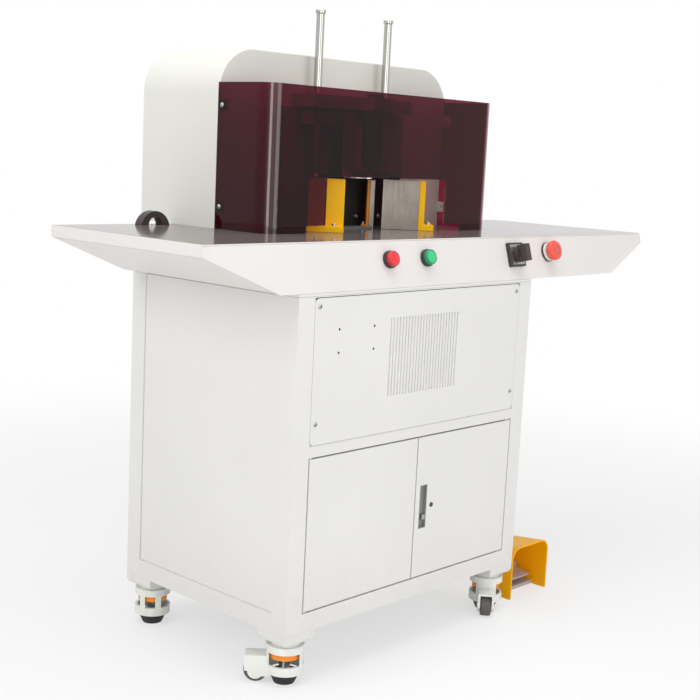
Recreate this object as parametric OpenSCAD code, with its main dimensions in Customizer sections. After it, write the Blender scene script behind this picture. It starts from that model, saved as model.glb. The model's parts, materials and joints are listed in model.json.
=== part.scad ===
// Corner rounding machine: wheeled cabinet, work table, guarded cutting station and foot switch.
// Millimetres, +Z up, floor at z = 0. The operator stands on the -Y side.

/* [Table] */
// Length of the work table
table_w = 1290; // [1100:10:1400]
// Depth of the work table
table_d = 412; // [400:2:430]
// Height of the working surface above the floor
table_h = 780; // [740:5:820]
// Thickness of the table sheet
sheet = 3; // [2:0.5:5]
// Height of the down-turned table ends
end_h = 21; // [15:1:40]
// Height of the front panel and the back apron
apron_h = 84; // [75:1:110]
// Length of the tapered part at each end of the front panel and the back apron
apron_run = 157; // [80:1:165]
// Distance that the foot of the front panel stands out from its top
panel_lean = 25; // [10:1:40]
// Half distance between the outer faces of the sub-frame plates
sub_half = 247; // [200:1:290]
// Thickness of the sub-frame plates
sub_t = 6; // [4:1:10]
// Thickness of the plates that close the underside
under_t = 2.5; // [2:0.5:4]
// Width of their seat on the cabinet
under_seat = 10; // [6:1:20]

/* [Cabinet] */
// Width of the cabinet
cab_w = 655; // [620:5:680]
// Depth of the cabinet
cab_d = 450; // [440:5:480]
// Offset of the cabinet centre from the table centre
cab_x = -127; // [-140:1:0]
// Width of the corner posts
post = 38; // [32:1:46]
// Height of the base rails
base_rail_h = 35; // [25:1:50]
// Thickness of the top plate
top_t = 6; // [4:1:10]
// Height of the middle rails above the base rails
mid_up = 279; // [250:1:300]
// Height of the middle rails
mid_h = 18; // [14:1:26]
// Depth of the folded side and back panels
pan_t = 12; // [8:1:15]
// Sheet thickness of panels and doors
skin = 2; // [1:0.5:3]
// Setback of the side and back panels behind the posts
inset = 2; // [1:0.5:4]
// Thickness of the floor and the shelf
deck_t = 3; // [2:0.5:5]

/* [Doors] */
// Gap around each door
door_gap = 3; // [2.5:0.5:5]
// Depth of each door
door_t = 12; // [10:1:13]
// Diameter of the hinge pins
pin_d = 6; // [4:0.5:8]
// Length of the hinge pins outside the door
pin_len = 11; // [8:1:14]
// Width of the recessed pull
pull_w = 21; // [16:1:30]
// Height of the recessed pull
pull_h = 85; // [60:1:110]
// Depth of the recessed pull
pull_t = 9; // [6:0.5:9.5]
// Wall of the recessed pull
pull_wall = 1.5; // [1:0.5:2]
// Distance of the pull from the free edge of the door
pull_edge = 12; // [8:1:20]
// Diameter of the lock barrel
lock_d = 9; // [6:0.5:14]
// Distance of the lock axis from the free edge of the door
lock_edge = 47; // [40:1:70]
// Width of the lock tongue
tongue_w = 12; // [8:1:16]
// Overlap of the lock tongue behind the other door
tongue_grip = 10; // [5:1:20]

/* [Access panel] */
// Corner radius of the access panel
panel_r = 10; // [4:1:20]
// Gap above and below the access panel
panel_gap = 3; // [1:0.5:5]
// Distance of the screws from the panel sides
screw_edge = 11; // [8:1:16]
// Height of the lower screws above the panel bottom
screw_low = 37; // [15:1:60]
// Distance of the upper screws from the panel top
screw_high = 14; // [12:1:40]
// Number of louvre slots
vent_n = 24; // [10:1:30]
// Pitch of the louvre slots
vent_pitch = 8.2; // [6:0.1:10]
// Width of a louvre slot
vent_w = 4; // [2:0.5:5]
// Length of a louvre slot
vent_h = 143; // [80:1:180]
// Spacing of the four hole pattern along the panel
hole_dx = 89; // [60:1:110]
// Spacing of the four hole pattern up the panel
hole_dz = 41; // [30:1:60]
// Diameter of the four holes
hole_d = 5; // [3:0.5:8]
// Distance of the hole pattern from the louvre centre
hole_off = 183; // [170:1:200]

/* [Drive housing] */
// Offset of the cutting station from the table centre
station_x = -52; // [-60:1:20]
// Width of the housing
housing_w = 650; // [600:5:700]
// Depth of the housing
housing_d = 220; // [200:5:240]
// Height of the housing above the table
housing_h = 332; // [315:1:350]
// Radius of the top corners
housing_r = 85; // [40:1:120]
// Sheet thickness of the housing
housing_t = 3; // [2:0.5:4]
// Distance of the housing front behind the table centre line
housing_y = 80; // [76:1:96]

/* [Guard] */
// Depth of the guard in front of the housing
guard_d = 139; // [135:1:160]
// Height of the guard
guard_h = 266; // [264:1:290]
// Thickness of the acrylic sheet
guard_t = 5; // [4:0.5:8]
// Outside bend radius
guard_r = 34; // [15:1:50]
// Width of the work opening
open_w = 348; // [320:2:380]
// Height of the work opening
open_h = 104; // [103:1:110]
// Width of the low slot
slot_w = 452; // [400:2:500]
// Height of the low slot
slot_h = 14; // [13:1:25]
// Distance of the guard screws from the top and bottom edges
guard_screw_z = 41; // [25:1:60]

/* [Cutting station] */
// Radius that the knife cuts
knife_r = 50; // [48:1:52]
// Thickness of the knife
knife_t = 8; // [5:0.5:10]
// Half angle of the knife arc
knife_half = 53; // [46:1:56]
// Crossing of the fence lines behind the table centre line
apex_y = 66; // [64:1:68]
// Distance of the fences from their crossing
fence_start = 80; // [76:1:90]
// Length of each fence
fence_len = 75; // [60:1:80]
// Thickness of each fence
fence_t = 4; // [3:0.5:8]
// Height of each fence
fence_h = 100; // [80:1:102]
// Thickness of the angle brackets
bracket_t = 12; // [6:1:13]
// Width of the angle brackets
bracket_w = 70; // [40:1:80]
// Length of the bracket feet
bracket_foot = 20; // [10:1:25]
// Length of the knife guides
guide_len = 44; // [30:1:46]
// Thickness of the knife guides
guide_t = 10; // [6:1:12]
// Height of the knife guides
guide_h = 97; // [80:1:98]
// Distance of the knife guides from the station centre
guide_x = 76; // [75:1:80]
// Distance of the knife guides behind the table centre line
guide_y = 56; // [54:1:58]
// Thickness of the guide brackets
guide_bracket_t = 6; // [4:0.5:7]
// Length of the guide bracket feet
guide_foot = 10; // [6:1:11]
// Width of the cutting block
block_w = 86; // [80:1:88]
// Depth of the cutting block
block_d = 36; // [34:1:40]
// Thickness of the cutting block
block_t = 4; // [3:0.5:6]

/* [Ram] */
// Working stroke of the knife
stroke = 95; // [80:1:97]
// Diameter of the guide rods
rod_d = 16; // [12:1:18]
// Distance of the guide rods from the station centre
rod_half = 97; // [96:1:102]
// Distance of the guide rods behind the table centre line
rod_y = 54; // [52:1:55]
// Height of the guide rods above the head shelf
rod_out = 152; // [120:1:180]
// Diameter of the rod caps
cap_d = 20; // [17:1:24]
// Height of the rod caps
cap_h = 7; // [4:1:12]
// Width of the head casting
head_w = 360; // [320:2:400]
// Thickness of the head cheeks
head_t = 7; // [5:0.5:8]
// Free width between the head cheeks
head_gap = 72; // [66:1:90]
// Underside of the head shelf above the table
head_up = 232; // [228:1:236]
// Thickness of the head shelf
shelf_t = 26; // [20:1:30]
// Width of the head shelf
shelf_w = 280; // [250:2:320]
// Depth of the head shelf
shelf_d = 62; // [60:1:64]
// Wall of the rod bushes
bush_wall = 5; // [3:0.5:7]
// Flange height of the rod bushes
bush_flange = 3; // [2:0.5:5]
// Width of the crosshead
cross_w = 250; // [230:2:270]
// Depth of the crosshead beam
cross_d = 34; // [28:1:36]
// Height of the crosshead
cross_h = 28; // [20:1:30]
// Width of the crosshead arm
arm_w = 60; // [40:1:64]
// Distance of the ram cylinder behind the table centre line
ram_y = 136; // [132:1:142]
// Diameter of the piston rod
piston_rod_d = 25; // [18:1:28]
// Bore of the ram cylinder
ram_bore = 50; // [40:1:52]
// Wall of the ram cylinder
ram_wall = 10; // [8:1:12]

/* [Presser] */
// Stroke of the presser
presser_stroke = 86; // [60:1:86]
// Diameter of the presser pad
pad_d = 78; // [60:1:82]
// Thickness of the presser pad
pad_t = 10; // [6:1:11]
// Distance of the pad's straight back edge from its centre
pad_back = 24; // [18:1:25]
// Diameter of the presser rod
presser_rod_d = 12; // [8:1:16]
// Outside diameter of the presser cylinder
barrel_d = 40; // [32:1:44]
// Wall of the presser cylinder
barrel_wall = 6; // [4:0.5:8]

/* [Pump] */
// Diameter of the pump motor
motor_d = 130; // [100:1:150]
// Length of the pump motor
motor_len = 200; // [160:5:230]
// Width of the square pump block
pump_w = 90; // [70:1:110]
// Length of the pump block
pump_len = 80; // [60:1:100]
// Length of the oil tank
tank_len = 200; // [150:5:230]
// Width of the square oil tank
tank_w = 140; // [110:1:150]
// Height of the pump axis above the shelf
pump_up = 75; // [75:1:90]
// Distance of the pump axis in front of the table centre line
pump_y = 40; // [20:1:60]
// Diameter of the pressure pipe
pipe_d = 10; // [6:1:14]

/* [Controls] */
// Position of the red button
red_x = -221; // [-260:1:-200]
// Position of the green button
green_x = -118; // [-160:1:-100]
// Distance of the buttons down the front panel
button_drop = 36.5; // [30:0.5:45]
// Diameter of the button caps
button_d = 28; // [24:1:28]
// Diameter of the button stems
button_stem = 10; // [8:1:14]
// Diameter of the button bezels
bezel_d = 32; // [31:1:36]
// Height of the button bezels
bezel_h = 7; // [5:1:10]
// Height of the caps above the bezels
button_out = 9; // [4:0.5:10]
// Travel of the buttons
button_travel = 4; // [2:0.5:4]
// Diameter of the threaded control bodies
body_d = 22.5; // [22:0.5:26]
// Position of the main switch
switch_x = 156; // [144:1:170]
// Distance of the main switch down the front panel
switch_drop = 38; // [34:1:45]
// Width of the main switch plate
switch_w = 48; // [40:1:56]
// Thickness of the main switch plate
switch_t = 8; // [5:1:10]
// Diameter of the knob base
knob_w = 30; // [24:1:36]
// Thickness of the knob base
knob_t = 10; // [8:1:14]
// Width of the knob grip
grip_w = 15; // [8:1:18]
// Height of the knob grip
grip_h = 17; // [8:1:20]
// Length of the knob grip
grip_l = 34; // [28:1:38]
// Diameter of the knob shaft
shaft_d = 8; // [6:1:10]
// Position of the emergency stop
estop_x = 270; // [255:1:285]
// Distance of the emergency stop down the front panel
estop_drop = 35; // [32:1:45]
// Diameter of the emergency stop head
estop_d = 41; // [36:1:44]
// Thickness of the emergency stop head
estop_h = 13; // [10:1:14]
// Reach of the emergency stop in front of the panel
estop_reach = 26; // [26:1:40]
// Diameter of the emergency stop base
estop_base_d = 40; // [34:1:44]
// Diameter of the emergency stop collar
collar_d = 37; // [32:1:38]
// Height of the emergency stop base
estop_base_h = 4; // [2:1:4]
// Height of the emergency stop collar
collar_h = 5; // [3:1:5]
// Diameter of the emergency stop stem
stem_d = 14; // [10:1:16]
// Length of the contact blocks behind the panel
contact_len = 30; // [20:1:40]

/* [Handle] */
// Outside radius of the handle arch
handle_r = 34; // [30:1:40]
// Height of the handle
handle_h = 26; // [24:1:30]
// Depth of the handle
handle_d = 20; // [14:1:24]
// Radius of the finger hole
handle_hole = 15; // [12:1:16]
// Distance of the handle from the housing side
handle_off = 65; // [50:1:90]
// Distance of the handle from the table back edge
handle_edge = 25; // [16:1:40]

/* [Casters] */
// Height of the casters
caster_h = 84; // [80:1:90]
// Width of the mounting blocks
mount_w = 73; // [68:1:80]
// Height of the mounting blocks
mount_h = 14; // [8:1:20]
// Thickness of the caster plates
plate_t = 4; // [3:0.5:6]
// Diameter of the swivel pin
king_d = 16; // [12:1:20]
// Diameter of the wheel
wheel_d = 44; // [40:1:44]
// Width of the wheel
wheel_w = 22; // [18:1:24]
// Distance of the wheel axle from the swivel axis
wheel_off = 50.5; // [50:0.1:51]
// Diameter of the wheel axle
axle_d = 8; // [6:1:10]
// Thickness of the fork arms
fork_t = 5; // [3:0.5:6]
// Outside diameter of the caster body
body_od = 68; // [66:1:72]
// Inside diameter of the caster body
body_id = 58; // [56:1:60]
// Height of the body underside above the floor
body_low = 20; // [20:1:24]
// Diameter of the foot pad at the floor
foot_d0 = 38; // [30:1:44]
// Diameter of the foot pad at its top
foot_d1 = 54; // [46:1:55]
// Height of the foot pad
foot_h = 18; // [14:1:18]
// Diameter of the adjusting ring
ring_d = 54; // [46:1:55]
// Height of the adjusting ring
ring_h = 10; // [6:1:10]
// Lift of the foot
foot_travel = 10; // [5:1:10]
// Diameter of the foot spindle
spindle_d = 12; // [8:1:14]
// Direction of each wheel: front left, front right, back left, back right
caster_turn = [133, 219, 43, 100];

/* [Foot switch] */
// Distance of the foot switch from the cabinet side
pedal_gap = 37.5; // [37.5:0.5:60]
// Distance of its front from the table centre line
pedal_y = 207; // [150:1:220]
// Width of the hood
pedal_w = 132; // [120:1:150]
// Depth of the hood
pedal_d = 104; // [100:1:120]
// Height of the hood
pedal_h = 112; // [105:1:130]
// Wall of the hood
pedal_t = 4; // [3:0.5:6]
// Radius of the upper hood edges
pedal_r = 26; // [8:1:30]
// Fall of the hood roof to the back, in degrees
hood_slope = 7; // [0:0.5:9]
// Thickness of the base
pedal_base_t = 8; // [5:1:10]
// Distance of the base from the hood front
base_in = 36; // [30:1:45]
// Width of the treadle
treadle_w = 98; // [80:1:100]
// Length of the treadle in front of its pivot
treadle_len = 52; // [40:1:58]
// Thickness of the treadle
treadle_t = 4; // [3:0.5:6]
// Slope of the treadle at rest, in degrees
treadle_rest = 8; // [4:0.5:10]
// Height of the treadle pivot
pivot_z = 32; // [30:1:40]
// Distance of the treadle pivot from the hood front
pivot_in = 86; // [82:1:88]
// Diameter of the treadle pivot
pivot_d = 8; // [6:1:10]

/* [Back vents] */
// Width of the slots in the back
back_vent_w = 130; // [80:5:200]
// Height of each slot
back_slot = 5; // [3:0.5:7]
// Pitch of the slots
back_pitch = 12; // [9:0.5:14]

/* [Fits] */
// Radial running clearance of turning and sliding pins
run = 0.05; // [0.02:0.01:0.1]
// Gap between faces that move past each other
slip = 0.3; // [0.2:0.05:0.5]
// Gap beside fixed panels
panel_slip = 0.8; // [0.4:0.1:0.9]
// Diameter of the cover screws
screw_d = 5; // [4:0.5:6]
// Diameter of the screw heads
screw_head = 9; // [8:0.5:11]
// Height of the screw heads
screw_head_h = 2.5; // [1.5:0.5:4]
// Radial gap of screws in sheet holes
screw_slip = 0.2; // [0.1:0.1:0.5]
// Thickness of the screw lugs
lug_t = 3; // [2:0.5:5]
// Length of the screw lugs
lug_len = 22; // [18:1:26]

/* [Hidden] */
$fn = 64;
cut = 1;
tz = table_h;
tu = tz - sheet;
lean = atan(panel_lean / apron_h);
switch_out = switch_t + slip + knob_t + grip_h;
switch_front = switch_out * cos(lean) + (switch_drop + grip_l / 2) * sin(lean);
ty = (table_d / 2 + switch_front - housing_y - housing_d) / 2;
tab_f = ty - table_d / 2;
tab_b = ty + table_d / 2;
cab_top = tz - apron_h;
cab_l = cab_x - cab_w / 2;
cab_r = cab_x + cab_w / 2;
cab_f = tab_f - panel_lean;
cab_b = cab_f + cab_d;
in_l = cab_l + post;
in_r = cab_r - post;
base_z = caster_h + mount_h;
rail_top = base_z + base_rail_h;
mid_z = rail_top + mid_up;
mid_top = mid_z + mid_h;
deck_z = mid_top + deck_t;
plate_z = cab_top - top_t;
deck_f = cab_f + door_t + 2;
deck_b = cab_b - inset - pan_t - 1;
back_rail_t = post - inset - pan_t - 1;
back_vent_z = mid_top + 60;
bezel_floor = 1;
cap_back = bezel_floor + button_travel + slip;
panel_z0 = mid_top + panel_gap;
panel_z1 = plate_z - panel_gap;
screw_xs = [in_l + panel_slip + screw_edge, in_r - panel_slip - screw_edge];
screw_zs = [panel_z0 + screw_low, panel_z1 - screw_high];
vent_z = (panel_z0 + panel_z1) / 2 + 11;
hole_z = vent_z + vent_h / 2 - 32;
door_z0 = rail_top + door_gap;
door_z1 = mid_z - door_gap;
door_l0 = in_l + door_gap;
door_l1 = cab_x - door_gap / 2;
door_r0 = cab_x + door_gap / 2;
door_r1 = in_r - door_gap;
door_mid = (door_z0 + door_z1) / 2;
hinge_y = cab_f + door_t / 2;
lock_x = door_r0 + lock_edge;
tongue_len = lock_edge + door_gap + tongue_grip;
hs_f = ty + housing_y;
hs_b = hs_f + housing_d;
hs_l = station_x - housing_w / 2;
hs_r = station_x + housing_w / 2;
gd_f = hs_f - guard_d;
guard_screw_y = hs_f - lug_len / 2;
guard_screw_zs = [tz + guard_screw_z, tz + guard_h - guard_screw_z];
head_top = tz + head_up;
head_low = tz + stroke + block_t + 3;
shelf_f = hs_f - shelf_d;
skirt_x = guide_x + (guide_len / 2 - guide_t / 2 - guide_bracket_t) / sqrt(2);
skirt_in = guide_y + (guide_len / 2 + guide_t / 2 + guide_bracket_t) / sqrt(2) - housing_y + head_t;
skirt_gap = max(0, skirt_in) + 1;
skirt_end = head_w / 2 - skirt_x - skirt_gap;
rods_y = ty + rod_y;
rod_xs = [station_x - rod_half, station_x + rod_half];
cross_z1 = head_top - 4;
cross_z0 = cross_z1 - cross_h;
cross_f = rods_y - cross_d / 2;
cross_b = rods_y + cross_d / 2;
knife_y = ty + apex_y - knife_r * sqrt(2);
knife_z = tz + block_t + 1 + stroke;
knife_od = knife_r + knife_t;
boss_f = knife_y + knife_r * cos(knife_half) - 3;
boss_half = knife_od * sin(knife_half) + 3;
ram_cy = ty + ram_y;
ram_d = ram_bore + 2 * ram_wall;
piston_h = 20;
gland_h = 25;
ram_bore_z1 = plate_z - gland_h;
ram_bore_z0 = ram_bore_z1 - stroke - piston_h - 2;
ram_z0 = ram_bore_z0 - 15;
rod_hole = piston_rod_d + 4;
spigot_d = 14;
pad_z = tz + open_h;
barrel_z0 = pad_z + pad_t + 11;
barrel_id = barrel_d - 2 * barrel_wall;
presser_top = head_top - 4;
presser_piston_h = 10;
nose_w = barrel_d + 14;
nose_bore = 20;
pump_cy = ty - pump_y;
pump_z = deck_z + pump_up;
motor_x0 = in_l + 24;
pump_x0 = motor_x0 + motor_len;
tank_x0 = pump_x0 + pump_len;
pipe_x = pump_x0 + pump_len / 2;
pipe_z = ram_bore_z1 + 4;
port_f = ram_cy - ram_d / 2 - 6;
sock_len = 18;
handle_x = hs_l - handle_off;
handle_y = tab_b - handle_edge;
handle_c = tz + handle_h - handle_r;
plate_low = caster_h - plate_t;
body_top = plate_low - 8;
roof_z = body_top - 3;
ring_top = foot_h + 39;
win_z0 = foot_h + 18;
win_z1 = foot_h + 41;
fork_half = wheel_w / 2 + 0.8 + fork_t;
caster_xs = [cab_l + mount_w / 2, cab_r - mount_w / 2];
caster_ys = [cab_f + mount_w / 2, cab_b - mount_w / 2];
ped_x = cab_r + pedal_gap;
ped_c = ped_x + pedal_w / 2;
ped_f = ty - pedal_y;
pivot_y = ped_f + pivot_in;
ear_t = 8;

module box(x0, x1, y0, y1, z0, z1) {
    translate([x0, y0, z0]) cube([x1 - x0, y1 - y0, z1 - z0]);
}

// A box of width w, centred on x
module wide(x, w, y0, y1, z0, z1) {
    box(x - w / 2, x + w / 2, y0, y1, z0, z1);
}

module bar_x(y, z, d, x0, x1) {
    translate([x0, y, z]) rotate([0, 90, 0]) cylinder(d = d, h = x1 - x0);
}

module bar_y(x, z, d, y0, y1) {
    translate([x, y0, z]) rotate([-90, 0, 0]) cylinder(d = d, h = y1 - y0);
}

module bar_z(x, y, d, z0, z1) {
    translate([x, y, z0]) cylinder(d = d, h = z1 - z0);
}

// A flat outline in x and z, made into a plate of thickness t behind y0
module xz_plate(y0, t) {
    translate([0, y0 + t, 0]) rotate([90, 0, 0]) linear_extrude(t) children();
}

// Outline with two round upper corners, standing on the x axis
module loaf(w, h, r) {
    translate([-w / 2, 0]) square([w, h - r]);
    translate([r - w / 2, 0]) square([w - 2 * r, h]);
    translate([r - w / 2, h - r]) circle(r);
    translate([w / 2 - r, h - r]) circle(r);
}

// Children built on the right of the station, with their mirror image on the left
module station_pair() {
    translate([station_x, ty, tz]) {
        children();
        mirror([1, 0, 0]) children();
    }
}

// Frame of the right fence: x runs from the crossing along the fence, y away from the work
module on_fence() {
    translate([0, apex_y, 0]) rotate([0, 0, -45]) children();
}

// Frame of the sloped front panel: its top edge on x, -y outward
module on_panel() {
    translate([0, tab_f, tz]) rotate([-lean, 0, 0]) children();
}

module at_caster(ix, iy) {
    translate([caster_xs[ix], caster_ys[iy], 0]) rotate([0, 0, caster_turn[ix + 2 * iy]]) children();
}

module corner_posts() {
    color("WhiteSmoke") {
        for (y = [cab_f, cab_b - post]) {
            difference() {
                union() {
                    box(cab_l, in_l, y, y + post, base_z, plate_z);
                    if (y == cab_f) post_lugs(in_l, in_l + lug_len);
                }
                if (y == cab_f) lug_holes(screw_xs[0]);
            }
            difference() {
                union() {
                    box(in_r, cab_r, y, y + post, base_z, plate_z);
                    if (y == cab_f) post_lugs(in_r - lug_len, in_r);
                }
                if (y == cab_f) lug_holes(screw_xs[1]);
            }
        }
    }
}

module post_lugs(x0, x1) {
    for (z = screw_zs) box(x0, x1, cab_f + skin, cab_f + skin + lug_t, z - 11, z + 11);
}

module lug_holes(x) {
    for (z = screw_zs) bar_y(x, z, screw_d, cab_f + skin - cut, cab_f + skin + lug_t + cut);
}

module cabinet_rails() {
    color("WhiteSmoke") {
        difference() {
            box(in_l, in_r, cab_f, cab_f + post, base_z, rail_top);
            hinge_bores(door_z0 - pin_len - 1, door_z0);
        }
        box(in_l, in_r, cab_b - post, cab_b, base_z, rail_top);
        box(cab_l, in_l, cab_f + post, cab_b - post, base_z, rail_top);
        box(in_r, cab_r, cab_f + post, cab_b - post, base_z, rail_top);
        difference() {
            box(in_l, in_r, cab_f, cab_f + post, mid_z, mid_top);
            hinge_bores(door_z1, door_z1 + pin_len + 1);
        }
        box(in_l, in_r, cab_b - post, cab_b - post + back_rail_t, mid_z, mid_top);
    }
}

module hinge_bores(z0, z1) {
    bar_z(door_l0 + door_t / 2, hinge_y, pin_d + 2 * run, z0, z1);
    bar_z(door_r1 - door_t / 2, hinge_y, pin_d + 2 * run, z0, z1);
}

module side_panels() {
    y0 = cab_f + post + panel_slip;
    y1 = cab_b - post - panel_slip;
    z1 = plate_z - panel_slip;
    color("WhiteSmoke") {
        difference() {
            box(cab_l + inset, cab_l + inset + pan_t, y0, y1, rail_top, z1);
            box(cab_l + inset + skin, in_l, y0 + skin, y1 - skin, rail_top + skin, z1 - skin);
        }
        difference() {
            box(cab_r - inset - pan_t, cab_r - inset, y0, y1, rail_top, z1);
            box(in_r, cab_r - inset - skin, y0 + skin, y1 - skin, rail_top + skin, z1 - skin);
        }
    }
}

module back_panel() {
    x0 = in_l + panel_slip;
    x1 = in_r - panel_slip;
    y1 = cab_b - inset;
    z1 = plate_z - panel_slip;
    color("WhiteSmoke") difference() {
        box(x0, x1, y1 - pan_t, y1, rail_top, z1);
        box(x0 + skin, x1 - skin, y1 - post, y1 - skin, rail_top + skin, z1 - skin);
        for (i = [0:11]) translate([0, 0, back_vent_z + back_pitch * i])
            wide(cab_x, back_vent_w, y1 - pan_t, cab_b, 0, back_slot);
    }
}

module cabinet_top() {
    color("WhiteSmoke") difference() {
        box(cab_l, cab_r, cab_f, cab_b, plate_z, cab_top);
        bar_z(station_x, ram_cy, rod_hole, plate_z - cut, cab_top + cut);
    }
}

module cabinet_floor() {
    color("Gainsboro") box(in_l, in_r, deck_f, deck_b, rail_top, rail_top + deck_t);
}

module cabinet_shelf() {
    color("Gainsboro") box(in_l, in_r, cab_f + skin + lug_t + 1, deck_b, mid_top, deck_z);
}

module access_panel() {
    x0 = in_l + panel_slip;
    x1 = in_r - panel_slip;
    color("WhiteSmoke") difference() {
        xz_plate(cab_f, skin) {
            translate([x0 + panel_r, panel_z0]) square([x1 - x0 - 2 * panel_r, panel_z1 - panel_z0]);
            translate([x0, panel_z0 + panel_r]) square([x1 - x0, panel_z1 - panel_z0 - 2 * panel_r]);
            for (x = [x0 + panel_r, x1 - panel_r])
                for (z = [panel_z0 + panel_r, panel_z1 - panel_r]) translate([x, z]) circle(panel_r);
        }
        for (x = screw_xs)
            for (z = screw_zs) bar_y(x, z, screw_d + 2 * screw_slip, cab_f - cut, cab_f + skin + cut);
        for (x = [-hole_dx / 2, hole_dx / 2])
            for (z = [-hole_dz / 2, hole_dz / 2])
                bar_y(cab_x - hole_off + x, hole_z + z, hole_d, cab_f - cut, cab_f + post);
        for (i = [0:vent_n - 1])
            wide(cab_x + (i - (vent_n - 1) / 2) * vent_pitch, vent_w, cab_f - cut, cab_f + post,
                vent_z - vent_h / 2, vent_z + vent_h / 2);
    }
}

module cover_screws() {
    color("Silver") {
        for (x = screw_xs)
            for (z = screw_zs) {
                bar_y(x, z, screw_head, cab_f - screw_head_h, cab_f);
                bar_y(x, z, screw_d, cab_f, cab_f + skin + lug_t);
            }
        for (z = guard_screw_zs) {
            bar_x(guard_screw_y, z, screw_head, hs_l - screw_head_h, hs_l);
            bar_x(guard_screw_y, z, screw_d, hs_l, hs_l + guard_t + lug_t);
            bar_x(guard_screw_y, z, screw_head, hs_r, hs_r + screw_head_h);
            bar_x(guard_screw_y, z, screw_d, hs_r - guard_t - lug_t, hs_r);
        }
    }
}

module door_shell(x0, x1) {
    difference() {
        box(x0, x1, cab_f, cab_f + door_t, door_z0, door_z1);
        box(x0 + skin, x1 - skin, cab_f + skin, cab_f + post, door_z0 + skin, door_z1 - skin);
    }
}

module hinge_pins(x) {
    bar_z(x, hinge_y, pin_d, door_z0 - pin_len, door_z0 + pin_len);
    bar_z(x, hinge_y, pin_d, door_z1 - pin_len, door_z1 + pin_len);
}

module door_left() {
    color("WhiteSmoke") {
        door_shell(door_l0, door_l1);
        hinge_pins(door_l0 + door_t / 2);
    }
}

module door_right() {
    color("WhiteSmoke") {
        difference() {
            door_shell(door_r0, door_r1);
            box(door_r0 + pull_edge, door_r0 + pull_edge + pull_w, cab_f - cut, cab_f + door_t,
                door_mid - pull_h / 2, door_mid + pull_h / 2);
            bar_y(lock_x, door_mid, lock_d + 2 * run, cab_f - cut, cab_f + door_t);
        }
        hinge_pins(door_r1 - door_t / 2);
    }
}

module door_pull() {
    x0 = door_r0 + pull_edge;
    x1 = x0 + pull_w;
    z0 = door_mid - pull_h / 2;
    z1 = door_mid + pull_h / 2;
    color("DimGray") {
        difference() {
            box(x0, x1, cab_f, cab_f + pull_t, z0, z1);
            box(x0 + pull_wall, x1 - pull_wall, cab_f - cut, cab_f + pull_t - pull_wall,
                z0 + pull_wall, z1 - pull_wall);
        }
        box(x0 + pull_w / 2, x1 - pull_wall, cab_f + 1, cab_f + pull_t - pull_wall, z0 + 16, z0 + 26);
    }
}

module door_lock() {
    y1 = cab_f + door_t + 1;
    color("Black") {
        bar_y(lock_x, door_mid, lock_d, cab_f - 1, y1);
        wide(lock_x, tongue_w, y1, y1 + 2, door_mid - tongue_w / 2, door_mid + tongue_len);
    }
}

module table_top() {
    w = table_w / 2;
    color("White") difference() {
        union() {
            box(-w, w, tab_f, tab_b, tu, tz);
            difference() {
                for (x = [-w, w - sheet]) box(x, x + sheet, cab_f, tab_b - sheet, tz - end_h, tu);
                on_panel() box(-table_w, table_w, -apron_h, sheet, -apron_h, apron_h);
            }
        }
        bar_z(station_x, ram_cy, rod_hole, tu - cut, tz + cut);
    }
}

// Outline of the front panel and the back apron, top edge on the x axis, h high
module apron(h, end) {
    w = table_w / 2;
    polygon([[-w, 0], [-w, -end], [apron_run - w, -h], [w - apron_run, -h], [w, -end], [w, 0]]);
}

module front_panel() {
    color("White") intersection() {
        on_panel() difference() {
            xz_plate(0, sheet) apron(apron_h / cos(lean) + 4, end_h / cos(lean));
            for (x = [red_x, green_x]) bar_y(x, -button_drop, body_d, -cut, sheet + cut);
            bar_y(switch_x, -switch_drop, body_d, -cut, sheet + cut);
            bar_y(estop_x, -estop_drop, body_d, -cut, sheet + cut);
        }
        box(-table_w, table_w, cab_f - cut, tab_b, cab_top, tu);
    }
}

module back_apron() {
    color("White") intersection() {
        translate([0, 0, tz]) xz_plate(tab_b - sheet, sheet) apron(apron_h, end_h);
        box(-table_w, table_w, tab_f, tab_b + cut, cab_top, tu);
    }
}

module subframe() {
    color("Gainsboro") {
        box(cab_x - sub_half, cab_x - sub_half + sub_t, tab_f + sheet, tab_b - sheet, cab_top, tu);
        box(cab_x + sub_half - sub_t, cab_x + sub_half, tab_f + sheet, tab_b - sheet, cab_top, tu);
        under_plate(cab_l + under_seat);
        mirror([1, 0, 0]) under_plate(under_seat - cab_r);
    }
}

// Plate that closes the underside of the table from its left end to x1
module under_plate(x1) {
    w = table_w / 2;
    difference() {
        translate([0, 0, tz]) xz_plate(cab_f, tab_b - sheet - cab_f)
            polygon([[-w, -end_h], [apron_run - w, -apron_h], [x1, -apron_h], [x1, under_t - apron_h],
                [apron_run - w, under_t - apron_h], [-w, under_t - end_h]]);
        on_panel() box(-table_w, table_w, -apron_h, sheet, -2 * apron_h, apron_h);
        box(-table_w, sheet - w, -table_d, table_d, 0, tz);
    }
}

module housing_shell() {
    color("WhiteSmoke") xz_plate(hs_f, housing_d) translate([station_x, tz]) difference() {
        loaf(housing_w, housing_h, housing_r);
        translate([0, -cut]) housing_inside(cut);
    }
}

module housing_inside(extra) {
    loaf(housing_w - 2 * housing_t, housing_h - housing_t + extra, housing_r - housing_t);
}

module housing_front() {
    color("WhiteSmoke") difference() {
        union() {
            xz_plate(hs_f, housing_t) translate([station_x, tz]) housing_inside(0);
            for (z = guard_screw_zs) {
                box(hs_l + guard_t, hs_l + guard_t + lug_t, hs_f - lug_len, hs_f, z - 11, z + 11);
                box(hs_r - guard_t - lug_t, hs_r - guard_t, hs_f - lug_len, hs_f, z - 11, z + 11);
            }
        }
        wide(station_x, head_gap, hs_f - cut, hs_f + housing_t + cut, head_low, head_top);
        for (z = guard_screw_zs) {
            bar_x(guard_screw_y, z, screw_d, hs_l, hs_l + 40);
            bar_x(guard_screw_y, z, screw_d, hs_r - 40, hs_r);
        }
    }
}

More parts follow.
